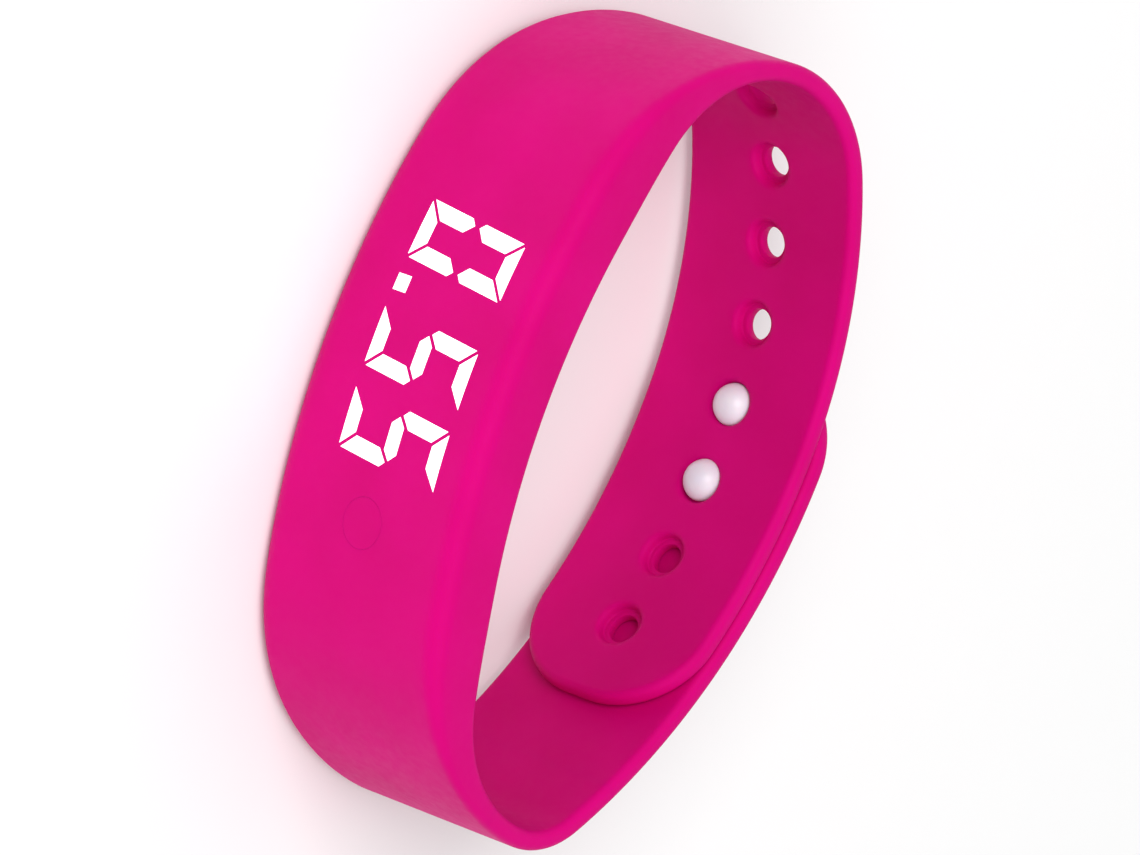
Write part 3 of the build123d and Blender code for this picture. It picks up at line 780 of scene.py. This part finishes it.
# %% Strap with studs
half_slot = (clip_length - clip_width) / 2
seat_radius, seat_edge = clip_width / 2 + 2 * fit, 0.12
seat_shapes = [(seat_radius + seat_edge, 0.0), (seat_radius, seat_edge), (seat_radius, clip_recess)]
seat_rings = [capsule(clip_run, half_slot, radius, depth) for radius, depth in seat_shapes]
neck_corners = 24
neck_profile = [(neck_radius + fit, clip_recess), (neck_radius + fit, strap_thickness)]
neck_holes = [(bore(run, middle, neck_profile, neck_corners), "clip_seat", "inner") for run in stud_runs]
peg_strap_skin = wrap(finish_mesh(slab(long_sides(seam_run, strap_seam)), "peg_strap_skin"), silicone)
end_holes = [(seat_rings, "outer", "clip_seat"), *neck_holes]
end_mesh = slab(with_round_tip(strap_seam, stud_tip), end_holes, ["clip_seat"])
peg_end_skin = wrap(finish_mesh(end_mesh, "peg_end_skin"), silicone)

# %% [markdown]
# ## Button
#
# The button is a spot of the display's own skin. It moves in with the key under it, so it is its own
# piece. It could be a dent in the skin that deforms, but the travel is a quarter of a millimetre, and a
# disc cut to the same curve and finish shows only a hairline at rest.

# %% Button skin
def solid_from_rings(mesh, rings):
    """A closed shape from a stack of rings, with its first and last ring filled."""
    vertices = [ring_of(mesh, places) for places in rings]
    for first, second in zip(vertices, vertices[1:]):
        join_rings(mesh, first, second)
    for ring in (vertices[0], vertices[-1]):
        level = ring[0].co.z
        fill(mesh, ring, [], lambda run: level)
    return mesh


pad_radius = button_radius - skin_gap
pad_rings = bore(button_run, middle, [(pad_radius, 0.0), (pad_radius, skin_thickness)])
button_skin = wrap(finish_mesh(solid_from_rings(bmesh.new(), pad_rings), "button_skin"), silicone)

# %% [markdown]
# ## Clip with two studs
#
# A white plastic clip holds the band shut: a bar on the outside, and two mushroom studs that go through
# both straps. The bar follows the strap, so it is wrapped like it. A stud is turned from a profile and
# must stay round, so it isn't wrapped: a second tree stands copies of it on points. The same tree serves
# the screws and digits.

# %% Stamping tree
stamp_tree, given, result = new_tree("stamp_on_points", [
    ("Shape", "NodeSocketObject", None), ("Copy size", "NodeSocketFloat", 1.0),
    ("Finish", "NodeSocketMaterial", None)])
points = node(stamp_tree, "GeometryNodeMeshToPoints")
shape = node(stamp_tree, "GeometryNodeObjectInfo")
turned = node(stamp_tree, "GeometryNodeInputNamedAttribute", data_type="FLOAT_VECTOR")
turned.inputs["Name"].default_value = "turn"
copies = node(stamp_tree, "GeometryNodeInstanceOnPoints")
wire(given, "Geometry", points, "Mesh")
wire(given, "Shape", shape, "Object")
wire(points, "Points", copies, "Points")
wire(shape, "Geometry", copies, "Instance")
wire(turned, "Attribute", copies, "Rotation")
wire(given, "Copy size", copies, "Scale")
finish_tree(stamp_tree, copies.outputs["Instances"], given, result)
print("the stamping tree has", len(stamp_tree.nodes), "nodes")


# %% Using the stamp
def stamp(name, shape, places, turns, finish):
    """Copies of a shape on places in metres, each turned by Euler angles, as one plain piece."""
    data = bpy.data.meshes.new(name)
    data.from_pydata([tuple(place) for place in places], [], [])
    turn = data.attributes.new("turn", "FLOAT_VECTOR", "POINT")
    turn.data.foreach_set("vector", np.array(turns, np.float32).ravel())
    obj = in_scene(name, data)
    grow(obj, stamp_tree, shape=shape, finish=finish)
    helpers.append(shape)
    print(name, "has", len(places), "copies of", shape.name)
    return obj


def facing_out(run):
    """Euler angles that turn a shape's z to the loop's outward direction."""
    _, out = on_line(run)
    across, away = Vector((0, 0, 1)), Vector((*out, 0))
    return tuple(Matrix((across.cross(away), across, away)).transposed().to_euler())


def join_into(obj, other):
    """Adds another piece's mesh to a piece."""
    mesh = bmesh.new()
    mesh.from_mesh(obj.data)
    mesh.from_mesh(other.data)
    mesh.to_mesh(obj.data)
    mesh.free()
    bpy.data.objects.remove(other)


# %% A lathe
lathe_turn_step = 7.5


def turned_ring(mesh, radii, turns, z):
    """A ring about the z axis with a radius at each turn, in millimetres."""
    return [mesh.verts.new((r * cosine(a), r * sine(a), z)) for r, a in zip(radii, turns)]


def capped(mesh, rings, name):
    """An object from a stack of rings, its ends closed by small caps."""
    for first, second in zip(rings, rings[1:]):
        join_rings(mesh, first, second)
    mesh.faces.new(rings[0])
    mesh.faces.new(rings[-1])
    return finish_mesh(mesh, name)


def lathe(name, profile):
    """A turned shape from (radius, z) pairs."""
    mesh = bmesh.new()
    turns = spaced(0, 360, lathe_turn_step)[:-1]
    return capped(mesh, [turned_ring(mesh, [r] * len(turns), turns, z) for r, z in profile], name)


# %% Clip plastic
clip_plastic = material("clip_plastic", (0.80, 0.78, 0.86), 0.32, Subsurface_Weight=0.1,
                        Subsurface_Scale=0.0008, Coat_Weight=0.15, Coat_Roughness=0.25)
vary_colour(clip_plastic, noise(clip_plastic, 3.0), (0.76, 0.74, 0.83), (0.83, 0.81, 0.88))
vary_roughness(clip_plastic, noise(clip_plastic, 0.5), 0.28, 0.38)
add_bump(clip_plastic, noise(clip_plastic, 0.2), 0.002)

# %% Studs
head_base, head_rim, head_dome = 3.14, 0.3, 1.7
neck_flare, head_edge = 0.15, 0.12
pole_turn, dome_turn_step = 1.0, 3.0
dome_radius = (head_radius**2 + head_dome**2) / (2 * head_dome)
dome_bottom = -head_base - head_rim - head_dome
dome_turns = spaced(math.degrees(math.asin(head_radius / dome_radius)), pole_turn, dome_turn_step)
dome = [(dome_radius * sine(a), dome_bottom + dome_radius * (1 - cosine(a))) for a in dome_turns]
stud_profile = [(neck_radius, -clip_recess / 2), (neck_radius, -head_base + neck_flare),
                (neck_radius + neck_flare, -head_base), (head_radius - head_edge, -head_base),
                (head_radius, -head_base - head_edge), *dome]
stud_places = [row_point(run, middle, 0) for run in stud_runs]
stud_turns = [facing_out(run) for run in stud_runs]
studs = stamp("studs", lathe("stud", stud_profile), stud_places, stud_turns, clip_plastic)

# %% Clip
bar_radius, bar_round, bar_edge = clip_width / 2, 0.45, 0.1
round_turn_step = 15.0
proud = clip_thickness - clip_recess
bar_levels = [(bar_radius - bar_round * (1 - sine(a)), -proud + bar_round * (1 - cosine(a)))
              for a in spaced(0, 90, round_turn_step)]
bar_levels += [(bar_radius, clip_recess - bar_edge), (bar_radius - bar_edge, clip_recess)]
bar_rings = [capsule(clip_run, half_slot, radius, depth) for radius, depth in bar_levels]
stud_clip = wrap(finish_mesh(solid_from_rings(bmesh.new(), bar_rings), "stud_clip"), clip_plastic)
join_into(stud_clip, studs)
print("stud_clip with its studs has", len(stud_clip.data.polygons), "faces")

# %% [markdown]
# ## Lit digits
#
# Lamps behind the skin shine through it and show as crisp white bars. Each lit bar is a thin plate a
# hundredth of a millimetre proud of the skin that gives off light. Five outlines are enough: a bar with
# mitred ends, an upright and its mirror image, a middle bar and the point. They are stamped flat, turned
# a half turn where needed, and then wrapped on the display.

# %% Digit outlines
digit_pitch, point_room, digit_width, digit_height = 7.7, 2.8, 5.8, 12.6
digits_middle, digits_lift, digit_slant = -2.6, 1.2, 6.0
bar_width, miter_gap, middle_gap, point_share, point_size = 1.6, 0.35, 0.65, 0.36, 1.6
lean = sine(digit_slant) / cosine(digit_slant)
glow_proud, glow_depth = 0.012, 0.2
side, top = digit_width / 2, digit_height / 2
miter = miter_gap / math.sqrt(2)
peak, tip = point_share * bar_width, middle_gap / 2
cap = [(miter - side, top), (side - miter, top), (side - miter - bar_width, top - bar_width),
       (miter + bar_width - side, top - bar_width)]
upright = [(side, top - miter), (side, tip + peak), (side - peak, tip),
           (side - bar_width, tip + bar_width - peak), (side - bar_width, top - bar_width - miter)]
reach, half = side - peak - miter, bar_width / 2
middle_bar = [(-reach, 0), (half - reach, half), (reach - half, half), (reach, 0), (reach - half, -half),
              (half - reach, -half)]
half_point = point_size / 2
point_outline = [(sx * half_point, sy * half_point) for sx, sy in ((1, 1), (-1, 1), (-1, -1), (1, -1))]
left_upright = [(-x, y) for x, y in upright]


def leaning(outline):
    """An outline about a digit's middle, slanted as the digits are."""
    return [(x + lean * y, y) for x, y in outline]


print("digits are", digit_width, "by", digit_height, "mm, lit bars", bar_width, "mm wide")

# %% Light of the segments
glow = material("segment_light", (0.9, 0.92, 0.95), 0.4, Emission_Color=(0.93, 0.97, 1.0, 1),
                Emission_Strength=1.0)
vary_roughness(glow, noise(glow, 1.0), 0.35, 0.5)


# %% Plates for the bars
def thin_plate(name, outline):
    """A flat plate between the glow's two heights, cut into small faces so that it can be wrapped."""
    mesh = bmesh.new()
    rings = []
    for height in (glow_proud, -glow_depth):
        ring = []
        for n, start in enumerate(outline):
            end = outline[(n + 1) % len(outline)]
            count = max(int(math.dist(start, end) / grid_step), 1)
            for k in range(count):
                at = [a + (b - a) * k / count for a, b in zip(start, end)]
                ring.append(mesh.verts.new((*at, height)))
        rings.append(ring)
    join_rings(mesh, *rings)
    fill(mesh, rings[0], [], lambda run: glow_proud)
    fill(mesh, rings[1], [], lambda run: -glow_depth)
    return finish_mesh(mesh, name)


# %% Lit digits
zero = digits_middle - digit_pitch - point_room / 2
first_five = zero + digit_pitch + point_room
second_five = first_five + digit_pitch
digit_xs = [zero, first_five, second_five]
half_turn = math.pi
# Each outline with where it is lit, as (digit's middle, turn).
lit = {
    "cap": (cap, [(x, turn) for x in digit_xs for turn in (0, half_turn)]),
    "upright": (upright, [(zero, 0), (zero, half_turn)]),
    "left_upright": (left_upright, [(x, turn) for x in digit_xs for turn in (0, half_turn)]),
    "middle_bar": (middle_bar, [(first_five, 0), (second_five, 0)]),
}
row_shift = face_radius * math.asin(digits_middle / face_radius) - digits_middle
row_height = (middle + digits_lift) * MM
lit_bars = []
for name, (outline, marks) in lit.items():
    places = [((row_shift + x) * MM, row_height, 0) for x, _ in marks]
    turns = [(0, 0, turn) for _, turn in marks]
    lit_bars.append(stamp(name + "_bars", thin_plate(name, leaning(outline)), places, turns, glow))

point_height = (point_size - digit_height) / 2
point_x = row_shift + (zero + first_five) / 2 + lean * point_height
point_place = (point_x * MM, row_height + point_height * MM, 0)
lit_bars.append(stamp("point_mark", thin_plate("point", point_outline), [point_place], [(0, 0, 0)], glow))
lit_digits = lit_bars[0]
for bars in lit_bars[1:]:
    join_into(lit_digits, bars)
lit_digits.name = "lit_digits"
wrap(lit_digits, glow)

# %% [markdown]
# ## Screws in the module's back
#
# Four tiny screws with hexagon sockets close the module. The CAD model's screws have sharp edges, so a
# finer one is made: its rings turn from a circle into a hexagon at the socket, which needs no Boolean. It
# is stamped on four points of the display's curve, heads towards the wrist.

# %% Finishes for plastic and metal
def grained(name, colour, roughness, grain, height, spread=0.12, metallic=0.0, stretch=(1, 1, 1)):
    """A finish whose colour, roughness and surface all vary with one grain size in millimetres."""
    made = material(name, colour, roughness, Metallic=metallic)
    low, high = [[c * (1 + s * spread) for c in colour] for s in (-1, 1)]
    vary_colour(made, noise(made, 6 * grain, 2.0, stretch), low, [min(c, 1.0) for c in high])
    vary_roughness(made, noise(made, 2 * grain, 3.0, stretch), 0.85 * roughness, 1.15 * roughness)
    add_bump(made, noise(made, grain, 3.0, stretch), height)
    return made


steel = grained("bright_steel", (0.60, 0.60, 0.63), 0.24, 0.15, 0.002, 0.05, 1.0, (1, 1, 6))

# %% Screws
screw_end_inset, screw_side_inset = 0.8, 2.1
screw_x, screw_y = module_half_length - screw_end_inset, module_width / 2 - screw_side_inset
screw_radius, screw_head, screw_head_height, screw_length = 0.5, 0.95, 0.34, 2.54
screw_edge, screw_turn_step = 0.08, 15.0
socket_radius, socket_depth = 0.45, 0.25


def screw_shape():
    """A screw that stands on z = 0 with its shank up. Its socket is a hexagon in the head's lower face."""
    mesh = bmesh.new()
    levels = [(screw_radius, screw_length), (screw_radius, screw_head_height),
              (screw_head, screw_head_height), (screw_head, screw_edge), (screw_head - screw_edge, 0.0)]
    turns = spaced(0, 360, screw_turn_step)[:-1]
    hexagon = [socket_radius * cosine(30) / cosine((a % 60) - 30) for a in turns]
    rings = [turned_ring(mesh, [r] * len(turns), turns, z) for r, z in levels]
    rings += [turned_ring(mesh, hexagon, turns, z) for z in (0.0, socket_depth)]
    return capped(mesh, rings, "screw")


corners = [(sx * face_radius * math.asin(screw_x / face_radius), middle + sy * screw_y)
           for sx in (-1, 1) for sy in (-1, 1)]
screw_places = [row_point(run, y, -module_back) for run, y in corners]
screw_turns = [facing_out(run) for run, _ in corners]
fine_screws = stamp("fine_screws", screw_shape(), screw_places, screw_turns, steel)

# %% [markdown]
# ## Pieces inside
#
# The module's pieces come from the CAD model as they are, because their shapes are right. They could
# share one grey, but each is told apart on a bench by its finish: fine-textured moulded plastics, a green
# laminate, tinned and plated metals, black epoxy and ceramic. One function makes them all from a colour,
# a roughness and a grain size.

# %% Finishes of the inner pieces
black_plastic = grained("black_plastic", (0.018, 0.018, 0.020), 0.45, 0.25, 0.006, 0.3)
frame_plastic = grained("white_frame_plastic", (0.72, 0.72, 0.70), 0.5, 0.2, 0.004, 0.04)
light_plastic = grained("diffusing_plastic", (0.86, 0.88, 0.90), 0.4, 0.3, 0.002, 0.03)
lamp_resin = grained("lamp_resin", (0.85, 0.80, 0.45), 0.25, 0.1, 0.001, 0.05)
laminate = grained("green_laminate", (0.010, 0.11, 0.035), 0.35, 0.3, 0.004, 0.25)
chip_epoxy = grained("chip_epoxy", (0.022, 0.022, 0.024), 0.55, 0.08, 0.003, 0.25)
ceramic = grained("capacitor_ceramic", (0.34, 0.22, 0.13), 0.45, 0.1, 0.002, 0.15)
cell_steel = grained("brushed_cell_steel", (0.56, 0.56, 0.58), 0.3, 0.12, 0.002, 0.06, 1.0, (12, 1, 1))
spring_gold = grained("plated_spring", (0.80, 0.58, 0.24), 0.28, 0.1, 0.002, 0.06, 1.0)
seal_rubber = grained("seal_rubber", (0.030, 0.028, 0.028), 0.7, 0.15, 0.005, 0.3)
amber_film = grained("amber_film", (0.48, 0.20, 0.03), 0.25, 0.5, 0.001, 0.1)
print(len(bpy.data.materials), "materials so far")

# %% Finishes on the CAD nodes
finishes = {
    "module_shell": black_plastic, "module_cover": black_plastic, "button_key": black_plastic,
    "segment_frame": frame_plastic, "segment_diffusers": light_plastic, "segment_leds": lamp_resin,
    "circuit_board": laminate, "microcontroller": chip_epoxy, "led_driver": chip_epoxy,
    "motion_sensor": chip_epoxy, "chip_resistors": chip_epoxy, "chip_capacitors": ceramic,
    "clock_crystal": cell_steel, "coin_cell": cell_steel,
    "positive_contact": spring_gold, "negative_contact": spring_gold, "cover_gasket": seal_rubber,
    "insulating_film": amber_film, "tact_switch": cell_steel, "switch_plunger": black_plastic,
}
for name, chosen in finishes.items():
    for slot in nodes[name].material_slots:
        slot.material = chosen
print("finishes on", len(finishes), "CAD nodes, to be replaced:", sorted(set(nodes) - set(finishes)))

# %% [markdown]
# ## What moves with what
#
# The display's skin, digits and screws stay with the module. Each strap bends at its root, and the stud
# end bends again where it peels off, but these pieces only have their placement baked into their meshes
# and ride on no body. The clip is rigid and rides on the end it is fixed to, and the button's skin goes in
# with the key.


def fold(piece):
    """Bakes a piece's placement into its mesh and leaves it on no body."""
    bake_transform(piece)


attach(display_skin, "display_body")
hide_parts("display_section")
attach(lit_digits, "display_body")
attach(fine_screws, "display_body")
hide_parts("cover_screws")
fold(hole_strap_skin)
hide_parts("hole_strap", "hole_webs")
fold(peg_strap_skin)
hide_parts("peg_strap")
fold(peg_end_skin)
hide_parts("peg_strap_end")
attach(stud_clip, "clasp_body")
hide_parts("peg_clip")
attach(button_skin, "button_body")
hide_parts("button_pad")

# %% Removing the helpers
print("removing", len(helpers), "helpers")
for helper in helpers:
    bpy.data.objects.remove(helper)

# %% [markdown]
# ## Floor, light and camera
#
# A plain pale floor and two large soft lamps show the shape without hard shadows. The camera looks down
# steeply with a long lens, which keeps the near and far sides of the band at nearly one scale, and it is
# turned on its own axis, so that the band stands across the picture.

# %% Floor
floor_half = 3.0
floor_data = bpy.data.meshes.new("floor")
floor_corners = [(x * floor_half, y * floor_half, 0) for x, y in ((-1, -1), (1, -1), (1, 1), (-1, 1))]
floor_data.from_pydata(floor_corners, [], [(0, 1, 2, 3)])
floor = in_scene("floor", floor_data)
paper = material("pale_paper", (0.94, 0.94, 0.94), 0.8)
vary_roughness(paper, noise(paper, 4.0), 0.75, 0.85)
floor_data.materials.append(paper)

# %% Light
world = bpy.data.worlds.new("studio")
world.use_nodes = True
sky = world.node_tree.nodes["Background"].inputs
sky["Color"].default_value = (1, 1, 1, 1)
sky["Strength"].default_value = 0.60
bpy.context.scene.world = world
bpy.context.scene.view_settings.view_transform = "Standard"


def soft_lamp(name, place, size, power):
    """A square area lamp that points at the band."""
    lamp = bpy.data.lights.new(name, "AREA")
    lamp.size, lamp.energy = size, power
    obj = in_scene(name, lamp)
    obj.location = place
    obj.rotation_euler = (-Vector(place)).to_track_quat("-Z", "Y").to_euler()
    obj.visible_camera = False
    print(name, power, "W")


soft_lamp("key_light", (-0.25, -0.6, 0.75), 0.6, 5.2)
soft_lamp("fill_light", (0.5, -0.3, 0.9), 0.7, 2.5)

# %% Camera
camera_target = Vector((0.2, -0.5, 11.8)) * MM
camera_distance, camera_elevation, camera_roll = 1.0, 41.4, 109.7
camera_data = bpy.data.cameras.new("camera")
camera_data.sensor_width, camera_data.lens = 36.0, 345.0
camera_data.clip_start = 0.05
camera = in_scene("camera", camera_data)
towards_camera = Vector((0, -cosine(camera_elevation), sine(camera_elevation)))
camera.location = camera_target + camera_distance * towards_camera
facing = Matrix.Rotation(math.radians(90 - camera_elevation), 3, "X")
camera.rotation_euler = (facing @ Matrix.Rotation(math.radians(camera_roll), 3, "Z")).to_euler()
bpy.context.scene.camera = camera
print("camera with a", camera_data.lens, "mm lens,", camera_distance, "m away")
